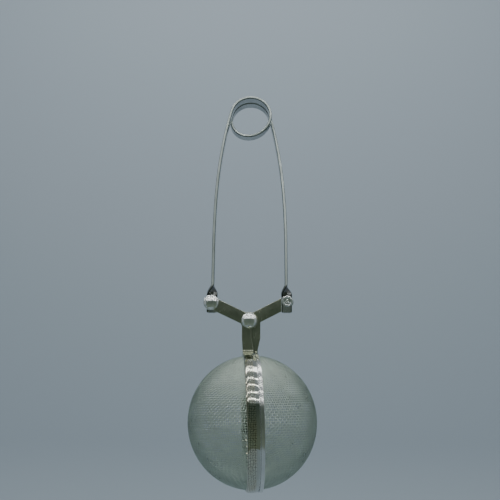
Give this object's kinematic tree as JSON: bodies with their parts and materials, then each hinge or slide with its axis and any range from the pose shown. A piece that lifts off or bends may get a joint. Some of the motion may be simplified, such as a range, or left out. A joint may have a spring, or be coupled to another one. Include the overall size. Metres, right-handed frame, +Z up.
{
  "type": "tea infuser",
  "caption": "Steel mesh ball for loose tea on a sprung tong handle with a hanging loop; squeezing the handle swings the two woven cups apart.",
  "frame": {"origin": "centre of the handle's hanging loop", "axes": "+Z up along the length, from the mesh ball to the loop; +X from the left cup to the right cup; +Y from the front, where the pivot rivet's domed head is, to the back"},
  "size_m": [0.05, 0.0518, 0.1634],
  "materials": {
    "spring_strip": "bright cold-rolled stainless strip, fine lengthwise grain, rounded edges",
    "link_plate": "stamped stainless plate, smooth and a little darker, faint rolling grain",
    "rivet": "polished nickel-plated tubular rivet",
    "rim_band": "pressed stainless band with the weave printed through it",
    "woven_mesh": "plain-woven fine stainless wire, slightly dull"
  },
  "bodies": {
    "handle": {"handle_coil": "spring_strip"},
    "left_arm": {"left_handle_arm": "spring_strip", "left_rivet": "rivet"},
    "right_arm": {"right_handle_arm": "spring_strip", "right_rivet": "rivet"},
    "left_jaw": {"left_link": "link_plate", "left_rim": "rim_band", "left_mesh": "woven_mesh", "pivot_rivet": "rivet"},
    "right_jaw": {"right_link": "link_plate", "right_rim": "rim_band", "right_mesh": "woven_mesh"}
  },
  "joints": [
    {"name": "left_arm_squeeze", "type": "hinge", "parent": "handle", "child": "left_arm", "pos_m": [0, 0, 0], "axis": [0, -1, 0], "range_deg": [0, 4.2]},
    {"name": "right_arm_squeeze", "type": "hinge", "parent": "handle", "child": "right_arm", "pos_m": [0, 0, 0], "axis": [0, 1, 0], "range_deg": [0, 4.2]},
    {"name": "left_cup_opening", "type": "hinge", "parent": "left_arm", "child": "left_jaw", "pos_m": [-0.0154, 0, -0.0823], "axis": [0, 1, 0], "range_deg": [0, 34], "stiffness_Nm_per_rad": 0.05, "springref_deg": -17.19},
    {"name": "right_cup_opening", "type": "hinge", "parent": "right_arm", "child": "right_jaw", "pos_m": [0.0154, 0, -0.0815], "axis": [0, -1, 0], "range_deg": [0, 34.5]}
  ],
  "couplings": [
    {"joint": "left_arm_squeeze", "follows": "left_cup_opening", "ratio": 0.1165},
    {"joint": "right_arm_squeeze", "follows": "left_cup_opening", "ratio": 0.1165},
    {"joint": "right_cup_opening", "follows": "left_cup_opening", "ratio": 1}
  ]
}
